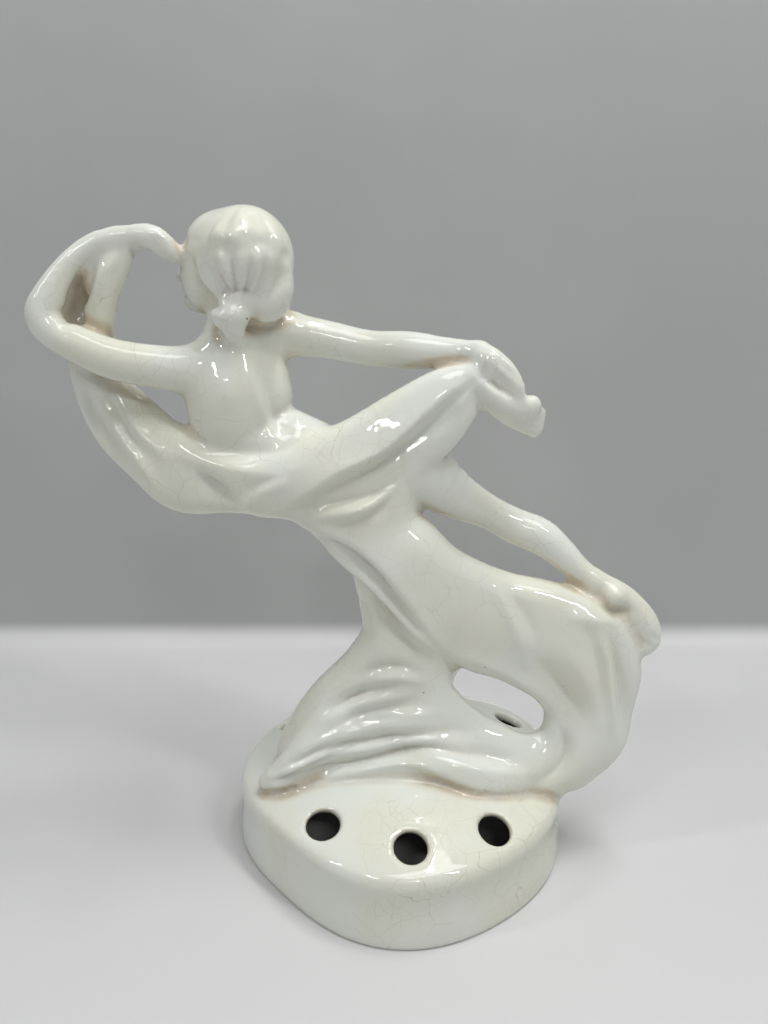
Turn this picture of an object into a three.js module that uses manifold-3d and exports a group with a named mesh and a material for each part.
// A glazed ceramic figurine that holds flowers: a dancer leans back over a low domed base with stem holes.
// Millimetres, +Z up, the dancer's back towards -Y. The figure and its base are one cast piece.
import * as THREE from "three";
import { mergeVertices } from "three/addons/utils/BufferGeometryUtils.js";
import Module from "manifold-3d";

// Driving sizes of the base.
const BASE_RADIUS = 61;
const BASE_CENTRE = [7.6, 4.2];
const SHOULDER_HEIGHT = 25;
const SHOULDER_BLEND = 3.5;
// The side draws in by this much under the shoulder.
const WAIST = 1.2;
const WAIST_HEIGHT = 15;
const DOME_RISE = 15;
const WALL = 4;
const FOOT_DEPTH = 6;
// The outline bulges in soft lobes: [lobes, share of the radius, degrees of the first crest].
const LOBES = [[2, 0.005, 69], [3, 0.037, 38], [5, 0.016, -27]];
// Stem holes: [degrees round the base, distance from its centre, degrees towards which it leans, lean].
const STEM_HOLE_RADIUS = 5.5;
const STEM_HOLES = [
  [-125, 48.6, -75, 38], [-89, 50.6, -82, 38], [-55, 50.6, -85, 38],
  [30, 49, 30, 24], [70, 49, 70, 24], [110, 50, 110, 24], [152, 50, 152, 24],
];

// The mesh of the clay: step of its grid, and how many triangles stay after the flat places are thinned.
const GRID_STEP = 2.1;
const CLAY_TRIANGLES = 8200;

// Tubes of flesh and hair. Each point is [x, y, z, radius]; flat presses the section along the
// direction given.
const FACING = [-0.64, 0.77, 0];
const TORSO = { blend: 5, flat: 1.3, along: FACING, points: [
  [-47.5, 1.5, 176, 15.5], [-47.3, 0.5, 166, 18.4], [-45, 2, 153, 16.4], [-27, 0, 143, 16.5],
  [-7, 1, 133, 17.5],
] };
const SHOULDERS = { blend: 5, points: [
  [-63, -3, 175.5, 7], [-52, 1, 179.5, 7.5], [-42, 5, 186, 8], [-32.6, 8.4, 186.4, 7.2],
] };
const NECK = { blend: 3, points: [[-51, 4, 178, 7.6], [-51.6, 3, 187, 6.4], [-49, 2, 198, 6.6]] };
const LEFT_ARM = { blend: 2.5, points: [
  [-61.9, -5, 175.6, 7.4], [-74, -7, 177.1, 6.8], [-86.1, -8, 179.7, 6.3], [-96.8, -7.5, 184.3, 5.9],
  [-104.2, -7, 189, 5.8], [-106.2, -6.5, 193.6, 5.7], [-103.3, -6, 199.6, 4.9], [-99.2, -5, 205.8, 4],
  [-94.1, -4, 211, 3.5], [-88.2, -3, 214.8, 3.2], [-82.2, -2, 215.8, 3.2],
] };
const LEFT_HAND = { blend: 2, flat: 1.15, along: [0, 1, 0], points: [
  [-82.8, -2, 215.8, 3.2], [-77.1, -2.5, 216, 3.9], [-72.2, -2.5, 215.4, 4.5], [-68.4, -2, 213.5, 3.8],
  [-64.6, -1.5, 211, 2.6],
] };
const RIGHT_ARM = { blend: 2.5, points: [
  [-33, 9, 185.6, 7.2], [-28.9, 9, 185.6, 6.9],
  [-18, 9.5, 183.9, 6.2], [-4.7, 9, 181.3, 5.9], [8.6, 7, 180.8, 6.2],
  [18.4, 5, 180.4, 5.1], [25.5, 3, 180.5, 4.2], [31, 0, 180.5, 3.8],
] };
const RIGHT_HAND = { blend: 1.6, flat: 1.2, along: [0, 1, 0], points: [
  [30.4, 0, 180.5, 3.8], [34.3, -4, 178.2, 4.4], [38.3, -6, 174.8, 4.2], [41.6, -7.5, 170.9, 3.2],
  [43.2, -8, 167.4, 2.2],
] };
const LEG = { blend: 3, points: [
  [-8, 2, 134, 17], [8, 4, 141, 13], [25, 5, 131.4, 8.2], [36.6, 5.5, 125.4, 6], [45.8, 5.5, 120.4, 6.3],
  [54.5, 4, 117.1, 6.4], [61.3, 2, 112.2, 5.4], [67.2, 0, 106.7, 4.6], [73.4, -1.5, 102.1, 4.2],
] };
const FOOT = { blend: 2, points: [
  [73.4, -1.5, 102.1, 4.2], [81.3, -3, 98, 4.8], [86.8, -4, 93.2, 5.1], [90.6, -5, 88, 5.3],
  [92.2, -6, 83.4, 4.6], [91.4, -6.5, 80.4, 3.4],
] };
const HEEL = { blend: 2.2, centre: [79.4, -6, 98.4], radii: [3.9, 3.8, 3.7] };
const CRANIUM = { blend: 3, centre: [-43.4, -1, 209.8], radii: [15.2, 16.6, 15.9] };
const NOSE = {
  blend: 1.5,
  points: [[-63.4, 8.6, 208.6, 1.6], [-66.4, 9.8, 204.8, 1.9], [-65.4, 9.6, 203.4, 1.7]],
};
const CHIN = { blend: 2.5, centre: [-62.2, 9.6, 196.6], radii: [3.4, 3.4, 3.2] };
const BUST_LEFT = { blend: 5, centre: [-58.4, 8, 168], radii: [7, 7.4, 7] };
const BUST_RIGHT = { blend: 5, centre: [-47.6, 16, 169.5], radii: [7.4, 7, 7] };
const HAIR_ROLL = { blend: 2.4, centre: [-37.5, -3.5, 200], radii: [9, 9.5, 9.8] };
const BUN = { blend: 1.4, centre: [-47, -11.5, 193.4], radii: [6.3, 5.4, 4.8] };
const NAPE = { blend: 3, points: [[-43.4, -6, 206, 9.6], [-45, -8.6, 200, 7.4], [-46.6, -9.6, 195.4, 4.6]] };
const BUN_TAIL = {
  blend: 2,
  points: [[-47, -10, 191, 4.2], [-46.4, -9.2, 187, 3.2], [-45.6, -7.6, 184.4, 2]],
};
const FACE = { blend: 4, points: [
  [-52, 2.5, 213.5, 10.5], [-55, 4.5, 208, 10], [-57, 6, 202.5, 8.2], [-58.4, 7.4, 197.6, 5],
] };
const TAIL_ROLL = { blend: 2, points: [
  [30, -3, 173, 4.2], [33.4, -5, 170.6, 4.1], [37, -6, 167.4, 4.3],
  [41.2, -6.6, 163.8, 3.9], [45.1, -6.4, 161.8, 3.2],
] };
const TAIL_KNOB = { blend: 1.5, centre: [47, -6.6, 164.4], radii: [3.7, 3.7, 3.7] };

// Sheets of cloth. Each station is [x, y, z] of one edge, [x, y, z] of the other, and half the thickness.
const SCARF = { blend: 3, edge: 0.62, stations: [
  [-105, 6, 181, -89, 6, 182, 4.2], [-103.2, 5, 168, -85, 5, 171, 5], [-96.5, 3, 151, -77, 3, 164.5, 6],
  [-84.5, 0, 139, -69, -1, 158.5, 7.5],
  [-69.5, -4, 128.8, -62.5, -4, 157, 9], [-50, -6, 129, -47.5, -6, 151.5, 10],
  [-31, -6, 126.8, -27, -5, 154.6, 10],
  [-11.5, -5, 133.5, -12.5, -4, 158.8, 8.6], [5.5, -5, 138.6, 5, -3, 168.6, 7.2],
  [18.5, -4, 147.6, 18.2, -2, 175.4, 6.2], [29, -3, 161.6, 28.4, -1, 177.4, 4.6],
] };
const TAIL = { blend: 1.6, edge: 0.7, stations: [
  [30, -2, 176, 29, -2, 165, 3.8], [39.1, -3, 170.6, 35.3, -3, 160.6, 3.8],
  [44.9, -4, 167.4, 40.8, -4, 156.8, 3.4],
  [50.4, -4, 164.4, 49, -4, 153.6, 2.8],
] };
const STRIP = { blend: 1.6, edge: 0.55, stations: [
  [-94, -1, 213, -76.4, -1, 213.4, 4],
  [-95.4, -1, 201, -83.6, -1, 199.4, 5], [-97, 1, 188, -87, 1, 188, 5.4],
  [-104, 5, 177, -88, 5, 178, 4.8],
] };
const WEB = { blend: 1.6, edge: 0.8, stations: [
  [-98, 4, 210, -89, 4, 211, 2.2], [-105, 6, 200, -92, 6, 200, 2.4], [-108, 6, 188, -93, 6, 188, 2.6],
  [-104, 6, 180, -92, 6, 180, 2.8],
] };
const SKIRT = { blend: 4, edge: 0.6, stations: [
  [-33, -3, 131, 6, -2, 147, 11], [-20, -3, 117.6, 12.5, -3, 125, 12], [-13, -3, 109, 22, -4, 114, 12.5],
  [-9.3, -3, 98, 29, -4, 96, 12], [-7.4, -3, 87, 23.4, -4, 76, 12], [-15.4, -2, 71.6, 29, -3, 60, 13.5],
  [-29.4, -2, 55, 45, -3, 43, 16.5], [-38.6, -2, 38, 62, -3, 35, 20], [-39.6, -2, 27, 62, -3, 26, 21],
] };
const TRAIN = { blend: 4, edge: 0.6, stations: [
  [0, -4, 96, 12.5, -4, 124, 11.5], [14, -4, 80, 25.4, -4, 114.4, 11], [27, -4, 71.4, 44.4, -3, 105.6, 10.4],
  [40, -4, 67, 63.6, -3, 100.8, 10], [51, -5, 61.6, 82, -4, 92.4, 9.8], [57.8, -5, 53.6, 89.4, -5, 77, 9.6],
  [57.8, -6, 48, 88.6, -6, 60, 9.6], [53, -7, 40, 86.6, -7, 45, 10], [40, -8, 32, 75, -8, 33, 11],
] };

// The opening under the train, cut towards the back and down: stations as for a sheet.
const OPENING = { blend: 2.4, edge: 0.35, stations: [
  [21.3, -40, 85.9, 49, -40, 68.6, 5.6], [23.9, -12, 71.4, 54.6, -12, 52.2, 6],
  [24.7, -3, 66.7, 56.4, -3, 46.9, 6.2], [27, 12, 57, 58, 12, 38.6, 6.6], [30, 34, 44, 56, 34, 28, 7.5],
] };

const OPENING_END = { blend: 2.4, points: [
  [44, -40, 72.6, 5.6], [49.1, -12, 56.8, 6.2],
  [50.9, -3, 51.5, 6.4], [53.4, 10, 43.8, 6.8], [54, 30, 34, 7.4],
] };

// Hems that roll out over the dome.
const HEM_LEFT = {
  blend: 4,
  points: [[-15, -12, 52, 7], [-27, -15, 42, 6.5], [-36, -16, 35.4, 5], [-41.4, -15.5, 32, 3.2]],
};
const HEM_RIGHT = {
  blend: 5,
  points: [[8, -12, 52, 7], [22, -17, 43, 7], [34, -20, 36, 6], [44, -18, 33, 5]],
};

// Folds in the side that faces -Y: how far each rises (below 0 it sinks), its width, and its way as [x, z].
const FOLDS = [
  { rise: 1.8, width: 4.4, way: [
    [-63.8, 149.6], [-51.9, 146.3], [-40.5, 144], [-33, 143.5], [-25.4, 146.9],
  ] },
  { rise: 1.7, width: 3.3, way: [[-48.7, 129.9], [-39.8, 137.3], [-30.6, 141.7]] },
  { rise: 3.5, width: 7.7, other: 2.9, way: [
    [-26.8, 142.6], [-14, 149.3], [-6.4, 151.7], [2.5, 154.8], [11.4, 161.2], [17.1, 165.5], [22.9, 169.1],
    [28.6, 174.6],
  ] },
  { rise: -3.5, width: 2.9, other: 4.4, way: [
    [-32.4, 131.6], [-23.8, 136.9], [-14.1, 142.2], [-4.5, 147.3], [5.1, 153], [12.7, 158.1], [17.8, 162.4],
    [22.2, 166.6],
  ] },
  { rise: 1.9, width: 3.7, other: 5.5, way: [
    [-18.7, 135.8], [-7.7, 141.7], [2.6, 145.9], [11.5, 151.5], [21.2, 156.9], [27.6, 163.8],
  ] },
  { rise: -2.4, width: 2.6, other: 3.3, way: [
    [-32.4, 131.2], [-20.6, 133.2], [-10.9, 135.4], [-3.2, 137.1], [2.6, 139.9], [5.8, 142.9],
  ] },
  { rise: 2.1, width: 2.9, other: 3.5, way: [
    [-27.4, 128.5], [-17.4, 130.4], [-6.4, 132.9], [1.3, 137], [6.5, 140.9],
  ] },
  { rise: -1.9, width: 2.6, way: [
    [-20.2, 126.7], [-10.3, 127.4], [-3.2, 130.7], [1.9, 134.9], [4.5, 138.5],
  ] },
  { rise: 2, width: 2.9, way: [[-88.9, 169.2], [-84.8, 162.4], [-81.1, 157.7], [-76.1, 153], [-69.8, 149]] },
  { rise: -2, width: 2.4, way: [[-91.4, 168], [-87, 160.6], [-83.5, 155.1], [-79, 149.7]] },
  { rise: 2, width: 2.9, way: [[-93.5, 166.1], [-88, 158.1], [-83.1, 151.4], [-77.2, 143.3], [-73, 136.8]] },
  { rise: -1.7, width: 2.6, way: [[-97.4, 169.2], [-93.8, 160.3], [-89.3, 152.1], [-84, 145.1]] },
  { rise: 4, width: 8.8, other: 2.9, way: [
    [-24.1, 120.6], [-17.8, 118.7], [-10.5, 114.9], [0.3, 106.3], [9.3, 95.7], [18.2, 85.6], [25.7, 74.7],
  ] },
  { rise: -3.2, width: 2.6, other: 4.4, way: [
    [-21.4, 115.9], [-14.8, 111.7], [-7.3, 106.9], [0.7, 100], [8, 92.2], [16.3, 81.7], [21.4, 74.1],
  ] },
  { rise: 2.1, width: 2.5, way: [[-18.8, 112.3], [-12.8, 108.5], [-6.7, 102.7], [-2, 96.1], [2.7, 88.7]] },
  { rise: -2.1, width: 2.4, way: [[-16.2, 107.9], [-11.7, 100.6], [-8.3, 92.7], [-5.5, 87]] },
  { rise: -2, width: 2.4, way: [[-19.5, 59.2], [-13.6, 63.4], [-4.2, 67.1], [5.5, 69.7]] },
  { rise: -1.9, width: 2.4, way: [[-25, 49.2], [-15.9, 55.4], [-7.6, 59.1], [2.8, 61.7], [12.4, 63.1]] },
  { rise: -3.1, width: 2.4, other: 3.5, way: [
    [-30.5, 41.8], [-20.1, 46.4], [-9, 49], [2.8, 51.7], [14.1, 53.7], [25, 53.7],
  ] },
  { rise: 2, width: 2.6, way: [[-33.4, 38.8], [-21.5, 43.6], [-8.3, 46.4], [5.5, 49.9], [19.3, 51.9]] },
  { rise: -3.5, width: 2.4, other: 3.5, way: [
    [-36.2, 36.2], [-21.7, 39.3], [-7.7, 43], [4.9, 46.9], [17.2, 49.5], [29.9, 46.9], [42.3, 42.6],
  ] },
  { rise: 1.7, width: 2.6, way: [
    [-39.2, 33.3], [-26, 33.9], [-13.6, 37.9], [-2.1, 41.7], [9, 42.7], [19.2, 41.1], [29.4, 36.9],
    [39.8, 34.1],
  ] },
  { rise: 2, width: 2.6, other: 3.3, way: [
    [23.3, 78.4], [33.9, 74.2], [44.7, 68], [55, 58.6], [59.5, 52.5], [59.3, 47],
  ] },
  { rise: -2.1, width: 4.4, way: [[52, 78.1], [59.4, 70.4], [66.3, 60.9], [70.4, 54.5]] },
  { rise: -2.4, width: 2.5, way: [[77.1, 85.7], [80.3, 74.5], [83, 62.4], [84.7, 48.7]] },
  { rise: -2.4, width: 2.5, way: [[60.7, 53.8], [63, 47.3], [62.6, 42.2], [59.7, 37.6], [54.7, 33.8]] },
  { rise: -2.5, width: 2.4, way: [[-90, 208.6], [-93.8, 201.7], [-95.3, 195.5], [-98, 190.2]] },
  { rise: -1.8, width: 2.4, way: [[-38.7, 176.4], [-36.2, 167.5], [-33.8, 159.3], [-31.2, 153.6]] },
];
// Folds in the far side, plainer.
const FAR_FOLDS = [
  { rise: 1, width: 2, way: [[-63, 171], [-55, 175], [-44, 176], [-32, 175]] },
  { rise: -1.6, width: 3.6, way: [[-96, 158], [-78, 146], [-54, 140]] },
  { rise: 1.6, width: 3.6, way: [[-30, 140], [-8, 150], [16, 164]] },
  { rise: -1.8, width: 4, way: [[-12, 120], [-2, 104], [4, 86], [4, 66]] },
  { rise: -1.8, width: 4, way: [[8, 112], [26, 96], [52, 84], [74, 74]] },
  { rise: -1.8, width: 4, way: [[-6, 78], [-16, 60], [-28, 42]] },
  { rise: -1.8, width: 4, way: [[10, 74], [12, 56], [14, 40]] },
];

// The spline through rows of numbers, with steps places in each span; every column is smoothed alike.
function spline(rows, steps) {
  const at = (i) => {
    if (i < 0) return rows[0].map((v, k) => 2 * v - rows[1][k]);
    if (i >= rows.length) return rows.at(-1).map((v, k) => 2 * v - rows.at(-2)[k]);
    return rows[i];
  };
  const places = [];
  for (let i = 0; i < rows.length - 1; i++) {
    const [a, b, c, d] = [at(i - 1), at(i), at(i + 1), at(i + 2)];
    for (let j = 0; j < steps; j++) {
      const t = j / steps;
      places.push(b.map((v, k) => v + 0.5 * t * (c[k] - a[k]
        + t * (2 * a[k] - 5 * v + 4 * c[k] - d[k] + t * (3 * (v - c[k]) + d[k] - a[k])))));
    }
  }
  places.push(rows.at(-1));
  return places;
}

// The box of a set of places, each with its reach, as [low, high].
function boxOf(places) {
  const low = [Infinity, Infinity, Infinity];
  const high = [-Infinity, -Infinity, -Infinity];
  for (const [place, reach] of places) {
    for (let k = 0; k < 3; k++) {
      low[k] = Math.min(low[k], place[k] - reach);
      high[k] = Math.max(high[k], place[k] + reach);
    }
  }
  return [low, high];
}

// How far a point is outside a box, 0 inside it.
function outside([low, high], x, y, z) {
  const dx = Math.max(low[0] - x, x - high[0], 0);
  const dy = Math.max(low[1] - y, y - high[1], 0);
  const dz = Math.max(low[2] - z, z - high[2], 0);
  return Math.hypot(dx, dy, dz);
}

// A round tube through its points, pressed flat along one direction where the form asks for it.
function tube({ points, blend, flat = 1, along = [0, 0, 1] }) {
  const press = (x, y, z) => {
    const more = (flat - 1) * (x * along[0] + y * along[1] + z * along[2]);
    return [x + more * along[0], y + more * along[1], z + more * along[2]];
  };
  const rows = spline(points, 4);
  const pressed = rows.map(([x, y, z, r]) => [...press(x, y, z), r]);
  const spans = pressed.slice(1).map((b, i) => {
    const a = pressed[i];
    const run = [b[0] - a[0], b[1] - a[1], b[2] - a[2]];
    return { a, run, length2: run[0] ** 2 + run[1] ** 2 + run[2] ** 2, growth: b[3] - a[3] };
  });
  const distance = (x, y, z) => {
    const [px, py, pz] = flat === 1 ? [x, y, z] : press(x, y, z);
    let best = Infinity;
    for (const { a, run, length2, growth } of spans) {
      const qx = px - a[0];
      const qy = py - a[1];
      const qz = pz - a[2];
      const t = THREE.MathUtils.clamp((qx * run[0] + qy * run[1] + qz * run[2]) / length2, 0, 1);
      const d = Math.hypot(qx - t * run[0], qy - t * run[1], qz - t * run[2]) - a[3] - t * growth;
      best = Math.min(best, d);
    }
    return best;
  };
  return { blend, distance, box: boxOf(rows.map((row) => [row, row[3]])) };
}

// An ellipsoid.
function ball({ centre, radii, blend }) {
  const least = Math.min(...radii);
  const distance = (x, y, z) => {
    const q = [(x - centre[0]) / radii[0], (y - centre[1]) / radii[1], (z - centre[2]) / radii[2]];
    const length = Math.hypot(...q);
    const slope = Math.hypot(q[0] / radii[0], q[1] / radii[1], q[2] / radii[2]);
    return slope < 1e-6 ? -least : (length * (length - 1)) / slope;
  };
  return { blend, distance, box: boxOf([[centre, Math.max(...radii)]]) };
}

// A sheet between two edges, thickest along its middle; edge is the share of the thickness left at its rim.
function sheet({ stations, blend, edge }) {
  const rows = spline(stations, 4).map((s) => {
    const across = [s[3] - s[0], s[4] - s[1], s[5] - s[2]];
    const width = Math.hypot(...across);
    return {
      middle: [(s[0] + s[3]) / 2, (s[1] + s[4]) / 2, (s[2] + s[5]) / 2],
      across: across.map((v) => v / width),
      half: width / 2,
      thick: s[6],
    };
  });
  const distance = (x, y, z) => {
    let best = Infinity;
    for (let i = 0; i + 1 < rows.length; i++) {
      const a = rows[i];
      const b = rows[i + 1];
      const run = [b.middle[0] - a.middle[0], b.middle[1] - a.middle[1], b.middle[2] - a.middle[2]];
      const q = [x - a.middle[0], y - a.middle[1], z - a.middle[2]];
      const length2 = run[0] ** 2 + run[1] ** 2 + run[2] ** 2;
      const t = THREE.MathUtils.clamp((q[0] * run[0] + q[1] * run[1] + q[2] * run[2]) / length2, 0, 1);
      const ux = THREE.MathUtils.lerp(a.across[0], b.across[0], t);
      const uy = THREE.MathUtils.lerp(a.across[1], b.across[1], t);
      const uz = THREE.MathUtils.lerp(a.across[2], b.across[2], t);
      const norm = Math.hypot(ux, uy, uz);
      const px = q[0] - t * run[0];
      const py = q[1] - t * run[1];
      const pz = q[2] - t * run[2];
      const sideways = Math.abs(px * ux + py * uy + pz * uz) / norm;
      const half = THREE.MathUtils.lerp(a.half, b.half, t);
      const thick = THREE.MathUtils.lerp(a.thick, b.thick, t);
      const rim = Math.min(thick * edge, half);
      const swell = (thick - rim) * Math.max(0, 1 - (sideways / half) ** 2);
      const rest2 = Math.max(px * px + py * py + pz * pz - sideways * sideways, 0);
      const d = Math.hypot(Math.sqrt(rest2), Math.max(sideways - half + rim, 0)) - rim - swell;
      best = Math.min(best, d);
    }
    return best;
  };
  return { blend, distance, box: boxOf(rows.map((row) => [row.middle, row.half + row.thick])) };
}

// The base's radius in a direction.
function baseRadius(angle) {
  let share = 1;
  for (const [lobes, swell, crest] of LOBES) {
    share += swell * Math.cos(lobes * (angle - THREE.MathUtils.degToRad(crest)));
  }
  return BASE_RADIUS * share;
}

// The base as a solid lobed drum with a domed top; it runs on below the floor, where it is cut later.
function drum() {
  const distance = (x, y, z) => {
    const dx = x - BASE_CENTRE[0];
    const dy = y - BASE_CENTRE[1];
    const reach = Math.hypot(dx, dy);
    const radius = baseRadius(Math.atan2(dy, dx));
    const side = radius - WAIST * Math.exp(-(((z - WAIST_HEIGHT) / 8) ** 2));
    const share = Math.min(reach / radius, 1.1);
    const above = (z - SHOULDER_HEIGHT - DOME_RISE * (1 - share * share)) * 0.9;
    return -smoothMin(side - reach, -above, SHOULDER_BLEND);
  };
  const reach = BASE_RADIUS * 1.08;
  const [x, y] = BASE_CENTRE;
  const box = [
    [x - reach, y - reach, -FOOT_DEPTH],
    [x + reach, y + reach, SHOULDER_HEIGHT + DOME_RISE],
  ];
  return { blend: 1.5, distance, box };
}

// The lesser of two distances, with a fillet of about the blend where they meet.
function smoothMin(a, b, blend) {
  const h = Math.max(blend - Math.abs(a - b), 0) / blend;
  return Math.min(a, b) - h * h * blend * 0.25;
}

const FORMS = [
  tube(TORSO), tube(SHOULDERS), tube(NECK), ball(BUST_LEFT),
  ball(BUST_RIGHT), tube(LEG), tube(FOOT), ball(HEEL),
  ball(CRANIUM), tube(FACE), tube(NOSE), ball(CHIN), ball(HAIR_ROLL), tube(NAPE), ball(BUN), tube(BUN_TAIL),
  tube(LEFT_ARM), tube(LEFT_HAND), tube(RIGHT_ARM), tube(RIGHT_HAND),
  sheet(SKIRT), sheet(TRAIN), sheet(SCARF), sheet(STRIP), sheet(WEB),
  tube(HEM_LEFT), tube(HEM_RIGHT), tube(TAIL_ROLL), sheet(TAIL), ball(TAIL_KNOB),
];
const CUTS = [sheet(OPENING), tube(OPENING_END)];
const DRUM = drum();
const EVERY_FORM = [...FORMS, DRUM];

// The signed distance to the clay before its folds, below 0 inside it.
function bareClay(x, y, z) {
  let d = 1e3;
  for (const form of FORMS) {
    if (outside(form.box, x, y, z) < d + form.blend) d = smoothMin(d, form.distance(x, y, z), form.blend);
  }
  for (const cut of CUTS) {
    if (outside(cut.box, x, y, z) < cut.blend - d) d = -smoothMin(-d, cut.distance(x, y, z), cut.blend);
  }
  return smoothMin(d, DRUM.distance(x, y, z), DRUM.blend);
}

// A fold laid on the clay where a line along Y, from the side given, first meets it.
// It falls off within its width on the left of its way and within the other width on the right.
function fold({ rise, width, other = width, way }, side) {
  const places = spline(way, 3).map(([x, z]) => {
    let y = side * 70;
    for (let stride = 1; stride > 0.02 && Math.abs(y) < 71; y -= side * stride) {
      stride = 0.7 * bareClay(x, y, z);
    }
    return [x, y, z];
  }).filter(([, y]) => Math.abs(y) < 70);
  const spans = places.slice(1).map((b, i) => {
    const a = places[i];
    const run = [b[0] - a[0], b[1] - a[1], b[2] - a[2]];
    return { a, run, length2: run[0] ** 2 + run[1] ** 2 + run[2] ** 2 };
  });
  const height = (x, y, z) => {
    let nearest = Infinity;
    let along = 0;
    let reach = width;
    spans.forEach(({ a, run, length2 }, i) => {
      const q = [x - a[0], y - a[1], z - a[2]];
      const t = THREE.MathUtils.clamp((q[0] * run[0] + q[1] * run[1] + q[2] * run[2]) / length2, 0, 1);
      const sideways = Math.hypot(q[0] - t * run[0], 0.6 * (q[1] - t * run[1]), q[2] - t * run[2]);
      if (sideways < nearest) {
        nearest = sideways;
        along = (i + t) / spans.length;
        reach = side * (q[2] * run[0] - q[0] * run[2]) < 0 ? width : other;
      }
    });
    return rise * Math.sin(Math.PI * (0.08 + 0.84 * along)) * Math.exp(-((nearest / reach) ** 2));
  };
  return { height, box: boxOf(places.map((place) => [place, 2.4 * Math.max(width, other)])) };
}

const RELIEF = [...FOLDS.map((row) => fold(row, -1)), ...FAR_FOLDS.map((row) => fold(row, 1))];

// The signed distance to the finished clay.
function clay(x, y, z) {
  let d = bareClay(x, y, z);
  if (Math.abs(d) > 8) return d;
  for (const { height, box } of RELIEF) {
    if (outside(box, x, y, z) === 0) d -= height(x, y, z);
  }
  return d;
}

// Whether the corners of a grid cell that are in the clay hang together, and so do the others.
function oneSheet(mask) {
  return [mask, mask ^ 255].every((wanted) => {
    let reached = wanted & -wanted;
    for (let round = 0; round < 8; round++) {
      for (let n = 0; n < 8; n++) {
        if (!(reached & (1 << n))) continue;
        for (const bit of [1, 2, 4]) reached |= wanted & (1 << (n ^ bit));
      }
    }
    return reached === wanted;
  });
}

// The closed surface of the clay as quads turned to triangles, with one vertex in each cell that it crosses.
function surface(step) {
  const low = [0, 1, 2].map((k) => Math.min(...EVERY_FORM.map((form) => form.box[0][k])) - 2 * step);
  low[2] = -FOOT_DEPTH - step;
  const high = [0, 1, 2].map((k) => Math.max(...EVERY_FORM.map((form) => form.box[1][k])) + 2 * step);
  const count = [0, 1, 2].map((k) => Math.ceil((high[k] - low[k]) / step) + 1);
  const index = (i, j, k) => (k * count[1] + j) * count[0] + i;
  const value = new Float32Array(count[0] * count[1] * count[2]);
  const block = 4;
  for (let k0 = 0; k0 < count[2]; k0 += block) {
    for (let j0 = 0; j0 < count[1]; j0 += block) {
      for (let i0 = 0; i0 < count[0]; i0 += block) {
        const half = (block - 1) / 2;
        const centre = [i0, j0, k0].map((n, m) => low[m] + (n + half) * step);
        const inMiddle = clay(...centre);
        const far = Math.abs(inMiddle) > 2.4 * block * step;
        for (let k = k0; k < Math.min(k0 + block, count[2]); k++) {
          for (let j = j0; j < Math.min(j0 + block, count[1]); j++) {
            for (let i = i0; i < Math.min(i0 + block, count[0]); i++) {
              const d = far ? inMiddle : clay(low[0] + i * step, low[1] + j * step, low[2] + k * step);
              value[index(i, j, k)] = k < 2 ? Math.max(d, step / 2) : d;
            }
          }
        }
      }
    }
  }
  const corner = [0, 1, 2, 3, 4, 5, 6, 7].map((n) => [n & 1, (n >> 1) & 1, n >> 2]);
  const simple = Array.from({ length: 256 }, (_, mask) => oneSheet(mask));
  for (let filled = true; filled;) {
    filled = false;
    for (let k = 0; k + 1 < count[2]; k++) {
      for (let j = 0; j + 1 < count[1]; j++) {
        for (let i = 0; i + 1 < count[0]; i++) {
          let mask = 0;
          for (let n = 0; n < 8; n++) {
            if (value[index(i + (n & 1), j + ((n >> 1) & 1), k + (n >> 2))] < 0) mask |= 1 << n;
          }
          if (simple[mask]) continue;
          const places = corner.map(([a, b, c]) => index(i + a, j + b, k + c));
          const open = places.filter((place) => value[place] >= 0);
          value[open.reduce((a, b) => (value[a] < value[b] ? a : b))] = -1e-3;
          filled = true;
        }
      }
    }
  }
  const edges = [];
  for (let n = 0; n < 8; n++) {
    for (const bit of [1, 2, 4]) if (!(n & bit)) edges.push([n, n | bit]);
  }
  const vertexOf = new Int32Array(value.length).fill(-1);
  const vertices = [];
  for (let k = 0; k + 1 < count[2]; k++) {
    for (let j = 0; j + 1 < count[1]; j++) {
      for (let i = 0; i + 1 < count[0]; i++) {
        const here = corner.map(([a, b, c]) => value[index(i + a, j + b, k + c)]);
        if (here.every((v) => v < 0) || here.every((v) => v >= 0)) continue;
        const sum = [0, 0, 0];
        let crossings = 0;
        for (const [a, b] of edges) {
          if (here[a] < 0 === here[b] < 0) continue;
          const t = here[a] / (here[a] - here[b]);
          for (let m = 0; m < 3; m++) sum[m] += corner[a][m] + t * (corner[b][m] - corner[a][m]);
          crossings++;
        }
        vertexOf[index(i, j, k)] = vertices.length / 3;
        vertices.push(
          low[0] + (i + sum[0] / crossings) * step,
          low[1] + (j + sum[1] / crossings) * step,
          low[2] + (k + sum[2] / crossings) * step,
        );
      }
    }
  }
  const triangles = [];
  const axes = [[1, 0, 0], [0, 1, 0], [0, 0, 1]];
  for (let k = 1; k + 1 < count[2]; k++) {
    for (let j = 1; j + 1 < count[1]; j++) {
      for (let i = 1; i + 1 < count[0]; i++) {
        const inside = value[index(i, j, k)] < 0;
        axes.forEach((axis, m) => {
          if (inside === value[index(i + axis[0], j + axis[1], k + axis[2])] < 0) return;
          const u = axes[(m + 1) % 3];
          const v = axes[(m + 2) % 3];
          const cell = (a, b) => vertexOf[index(
            i - a * u[0] - b * v[0], j - a * u[1] - b * v[1], k - a * u[2] - b * v[2],
          )];
          const quad = [cell(0, 0), cell(1, 0), cell(1, 1), cell(0, 1)];
          if (!inside) quad.reverse();
          triangles.push(quad[0], quad[1], quad[2], quad[0], quad[2], quad[3]);
        });
      }
    }
  }
  return { vertices, triangles };
}

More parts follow.
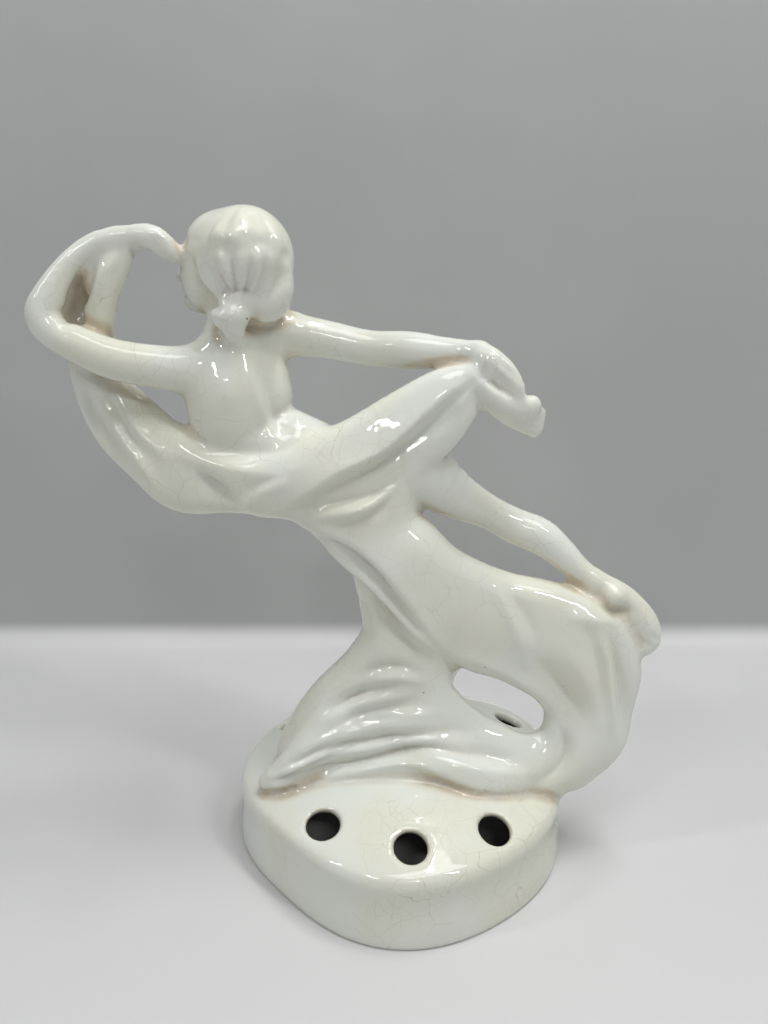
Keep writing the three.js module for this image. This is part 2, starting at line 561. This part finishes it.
// The nearest places first: a binary heap of [cost, ...] entries.
class Heap {
  entries = [];

  push(entry) {
    const list = this.entries;
    let i = list.push(entry) - 1;
    while (i > 0) {
      const parent = (i - 1) >> 1;
      if (list[parent][0] <= entry[0]) break;
      list[i] = list[parent];
      i = parent;
    }
    list[i] = entry;
  }

  pop() {
    const list = this.entries;
    const first = list[0];
    const last = list.pop();
    if (!list.length) return first;
    let i = 0;
    for (;;) {
      let child = 2 * i + 1;
      if (child >= list.length) break;
      if (child + 1 < list.length && list[child + 1][0] < list[child][0]) child++;
      if (list[child][0] >= last[0]) break;
      list[i] = list[child];
      i = child;
    }
    list[i] = last;
    return first;
  }
}

// A surface with fewer triangles: the edge whose loss moves the surface least goes first, over and over.
function thin({ vertices, triangles }, target) {
  const count = vertices.length / 3;
  const place = Array.from({ length: count }, (_, i) => new THREE.Vector3().fromArray(vertices, 3 * i));
  const faces = [];
  const around = Array.from({ length: count }, () => new Set());
  const error = Array.from({ length: count }, () => new Float64Array(10));
  const version = new Int32Array(count);
  const plane = new THREE.Plane();
  const normalOf = (a, b, c) => b.clone().sub(a).cross(c.clone().sub(a));
  for (let i = 0; i < triangles.length; i += 3) {
    const face = triangles.slice(i, i + 3);
    const number = faces.push(face) - 1;
    plane.setFromCoplanarPoints(...face.map((v) => place[v]));
    const { x, y, z } = plane.normal;
    const w = plane.constant;
    const weight = normalOf(...face.map((v) => place[v])).length() / 2;
    const terms = [x * x, x * y, x * z, x * w, y * y, y * z, y * w, z * z, z * w, w * w];
    for (const v of face) {
      around[v].add(number);
      terms.forEach((term, k) => {
        error[v][k] += term * weight;
      });
    }
  }
  const neighbours = (v) => new Set([...around[v]].flatMap((f) => faces[f]).filter((u) => u !== v));
  const costAt = (q, { x, y, z }) => q[0] * x * x + 2 * q[1] * x * y + 2 * q[2] * x * z + 2 * q[3] * x
    + q[4] * y * y + 2 * q[5] * y * z + 2 * q[6] * y + q[7] * z * z + 2 * q[8] * z + q[9];
  const best = (a, b) => {
    const q = error[a].map((v, k) => v + error[b][k]);
    const middle = place[a].clone().lerp(place[b], 0.5);
    const matrix = new THREE.Matrix3().set(q[0], q[1], q[2], q[1], q[4], q[5], q[2], q[5], q[7]);
    const trace = q[0] + q[4] + q[7];
    const choices = [middle, place[a].clone(), place[b].clone()];
    if (Math.abs(matrix.determinant()) > 1e-4 * trace ** 3) {
      const ideal = new THREE.Vector3(-q[3], -q[6], -q[8]).applyMatrix3(matrix.invert());
      if (ideal.distanceTo(middle) < 2 * place[a].distanceTo(place[b])) choices.unshift(ideal);
    }
    const costs = choices.map((choice) => costAt(q, choice));
    const least = costs.indexOf(Math.min(...costs));
    return [Math.max(costs[least], 0) + 1e-5 * place[a].distanceToSquared(place[b]), choices[least], q];
  };
  const heap = new Heap();
  const offer = (a, b) => {
    const [cost, spot, q] = best(a, b);
    heap.push([cost, a, b, version[a], version[b], spot, q]);
  };
  for (let v = 0; v < count; v++) {
    for (const u of neighbours(v)) if (v < u) offer(v, u);
  }
  let left = faces.length;
  while (left > target && heap.entries.length) {
    const [, a, b, versionA, versionB, spot, q] = heap.pop();
    if (version[a] !== versionA || version[b] !== versionB) continue;
    const shared = [...around[a]].filter((f) => around[b].has(f));
    const common = [...neighbours(a)].filter((v) => neighbours(b).has(v));
    if (shared.length !== 2 || common.length !== 2) continue;
    const kept = [...around[a], ...around[b]].filter((f) => !shared.includes(f));
    const turns = kept.some((f) => {
      const before = faces[f].map((v) => place[v]);
      const after = faces[f].map((v) => (v === a || v === b ? spot : place[v]));
      const n0 = normalOf(...before);
      const n1 = normalOf(...after);
      const longest = Math.max(...after.map((p, k) => p.distanceToSquared(after[(k + 1) % 3])));
      return n0.dot(n1) < 0.3 * n0.length() * n1.length() || n1.length() < 0.06 * longest;
    });
    if (turns) continue;
    for (const f of shared) {
      for (const v of faces[f]) around[v].delete(f);
      faces[f] = null;
    }
    for (const f of around[b]) {
      faces[f] = faces[f].map((v) => (v === b ? a : v));
      around[a].add(f);
    }
    around[b].clear();
    place[a].copy(spot);
    error[a] = q;
    version[a]++;
    version[b] = -1;
    left -= 2;
    for (const u of neighbours(a)) {
      offer(a, u);
    }
  }
  const used = new Map();
  const thinned = { vertices: [], triangles: [] };
  for (const face of faces) {
    if (!face) continue;
    for (const v of face) {
      if (!used.has(v)) {
        used.set(v, used.size);
        thinned.vertices.push(...place[v].toArray());
      }
      thinned.triangles.push(used.get(v));
    }
  }
  return thinned;
}

const wasm = await Module();
wasm.setup();

// The solid enclosed by a geometry.
function solid(geometry) {
  const bare = geometry.clone();
  bare.deleteAttribute("normal");
  bare.deleteAttribute("uv");
  const merged = mergeVertices(bare, 1e-4);
  return new wasm.Manifold(new wasm.Mesh({
    numProp: 3,
    vertProperties: merged.attributes.position.array,
    triVerts: new Uint32Array(merged.index.array),
  }));
}

// The geometry around a solid.
function geometryOf(body) {
  const mesh = body.getMesh();
  return new THREE.BufferGeometry()
    .setAttribute("position", new THREE.BufferAttribute(mesh.vertProperties, 3))
    .setIndex(new THREE.BufferAttribute(mesh.triVerts, 1));
}

// What is cut below the floor, so that the foot is flat.
function belowFloor() {
  const size = 3 * BASE_RADIUS;
  return solid(new THREE.BoxGeometry(size, size, size).translate(...BASE_CENTRE, -size / 2));
}

// The hollow of the base, open below, under walls of one thickness.
function hollow() {
  const inner = BASE_RADIUS - WALL;
  const ceiling = (r) => SHOULDER_HEIGHT - WALL + DOME_RISE * (1 - (r / BASE_RADIUS) ** 2);
  const profile = [0, 0.4, 0.7, 0.88].map(
    (share) => new THREE.Vector2(share * inner, ceiling(share * inner)),
  );
  profile.push(new THREE.Vector2(0.97 * inner, ceiling(inner) - 1.2));
  profile.push(new THREE.Vector2(inner, ceiling(inner) - 5));
  profile.push(new THREE.Vector2(inner, -WALL));
  profile.push(new THREE.Vector2(0, -WALL));
  const geometry = new THREE.LatheGeometry(profile.reverse(), 40).rotateX(Math.PI / 2);
  const position = geometry.attributes.position;
  for (let i = 0; i < position.count; i++) {
    const x = position.getX(i);
    const y = position.getY(i);
    const share = baseRadius(Math.atan2(y, x)) / BASE_RADIUS;
    position.setXY(i, BASE_CENTRE[0] + x * share, BASE_CENTRE[1] + y * share);
  }
  return solid(geometry);
}

// The drill of a stem hole, through its place on the dome.
function stemHole([degrees, distance, towards, lean]) {
  const drill = new THREE.CylinderGeometry(STEM_HOLE_RADIUS, STEM_HOLE_RADIUS, 24, 20).rotateX(Math.PI / 2);
  drill.rotateY(THREE.MathUtils.degToRad(lean)).rotateZ(THREE.MathUtils.degToRad(towards));
  const level = SHOULDER_HEIGHT + DOME_RISE * (1 - (distance / BASE_RADIUS) ** 2);
  const turn = THREE.MathUtils.degToRad(degrees);
  drill.translate(distance * Math.cos(turn), distance * Math.sin(turn), level - 2);
  return solid(drill.translate(...BASE_CENTRE, 0));
}

const clayMesh = thin(surface(GRID_STEP), CLAY_TRIANGLES);
const clayGeometry = new THREE.BufferGeometry()
  .setAttribute("position", new THREE.Float32BufferAttribute(clayMesh.vertices, 3))
  .setIndex(clayMesh.triangles);
let body = solid(clayGeometry).subtract(belowFloor()).subtract(hollow());
for (const hole of STEM_HOLES) body = body.subtract(stemHole(hole));

const geometry = geometryOf(body);
geometry.computeBoundingBox();
const middle = geometry.boundingBox.getCenter(new THREE.Vector3());

const glaze = new THREE.MeshStandardMaterial({ color: 0xe9e4d3, roughness: 0.12, metalness: 0 });
const figurine = new THREE.Mesh(geometry, glaze);
figurine.name = "figurine";
figurine.position.set(-middle.x, -middle.y, 0);

const group = new THREE.Group();
group.add(figurine);
export default group;
